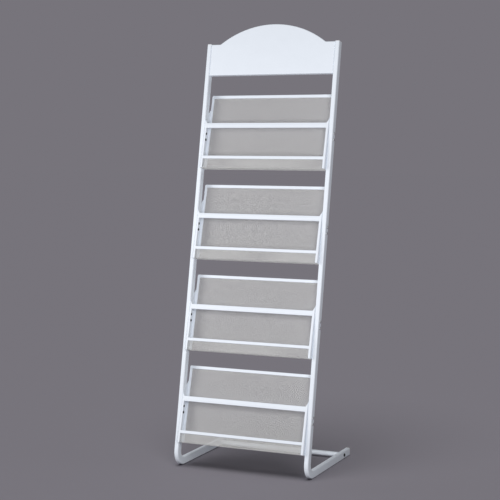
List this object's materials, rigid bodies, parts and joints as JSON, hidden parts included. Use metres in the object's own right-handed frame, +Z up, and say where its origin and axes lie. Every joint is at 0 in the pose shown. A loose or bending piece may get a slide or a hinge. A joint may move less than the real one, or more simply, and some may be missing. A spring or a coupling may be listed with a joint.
{
  "type": "brochure stand",
  "caption": "Free-standing white steel brochure stand: bent tubes that lean back, with fine mesh pockets bolted between them under an arched header panel.",
  "frame": {"origin": "on the floor, under the middle of the stand's width and depth", "axes": "+Z up, +X to the viewer's right, +Y from the front of the stand to its back, along the feet"},
  "size_m": [0.468, 0.387, 1.4335],
  "materials": {
    "white_powder_coat": "satin white powder coat",
    "white_mesh": "fine steel mesh, satin white powder coat",
    "cap_plastic": "moulded, light grey",
    "zinc_steel": "zinc plated",
    "dark_steel": "black oxide"
  },
  "bodies": {
    "root": {"bottom_tier_front_rail": "white_powder_coat", "bottom_tier_left_back_rail": "white_powder_coat", "bottom_tier_left_side_plate": "white_powder_coat", "bottom_tier_lip_rail": "white_powder_coat", "bottom_tier_mesh_tray": "white_mesh", "bottom_tier_right_back_rail": "white_powder_coat", "bottom_tier_right_side_plate": "white_powder_coat", "bottom_tier_top_rail": "white_powder_coat", "header_panel": "white_powder_coat", "left_foot_cap": "cap_plastic", "left_top_cap": "cap_plastic", "left_upright": "white_powder_coat", "lower_tier_front_rail": "white_powder_coat", "lower_tier_left_back_rail": "white_powder_coat", "lower_tier_left_side_plate": "white_powder_coat", "lower_tier_lip_rail": "white_powder_coat", "lower_tier_mesh_tray": "white_mesh", "lower_tier_right_back_rail": "white_powder_coat", "lower_tier_right_side_plate": "white_powder_coat", "lower_tier_top_rail": "white_powder_coat", "rear_cross_tube": "white_powder_coat", "right_foot_cap": "cap_plastic", "right_top_cap": "cap_plastic", "right_upright": "white_powder_coat", "top_tier_front_rail": "white_powder_coat", "top_tier_left_back_rail": "white_powder_coat", "top_tier_left_side_plate": "white_powder_coat", "top_tier_lip_rail": "white_powder_coat", "top_tier_mesh_tray": "white_mesh", "top_tier_right_back_rail": "white_powder_coat", "top_tier_right_side_plate": "white_powder_coat", "top_tier_top_rail": "white_powder_coat", "upper_tier_front_rail": "white_powder_coat", "upper_tier_left_back_rail": "white_powder_coat", "upper_tier_left_side_plate": "white_powder_coat", "upper_tier_lip_rail": "white_powder_coat", "upper_tier_mesh_tray": "white_mesh", "upper_tier_right_back_rail": "white_powder_coat", "upper_tier_right_side_plate": "white_powder_coat", "upper_tier_top_rail": "white_powder_coat"}
  },
  "joints": []
}
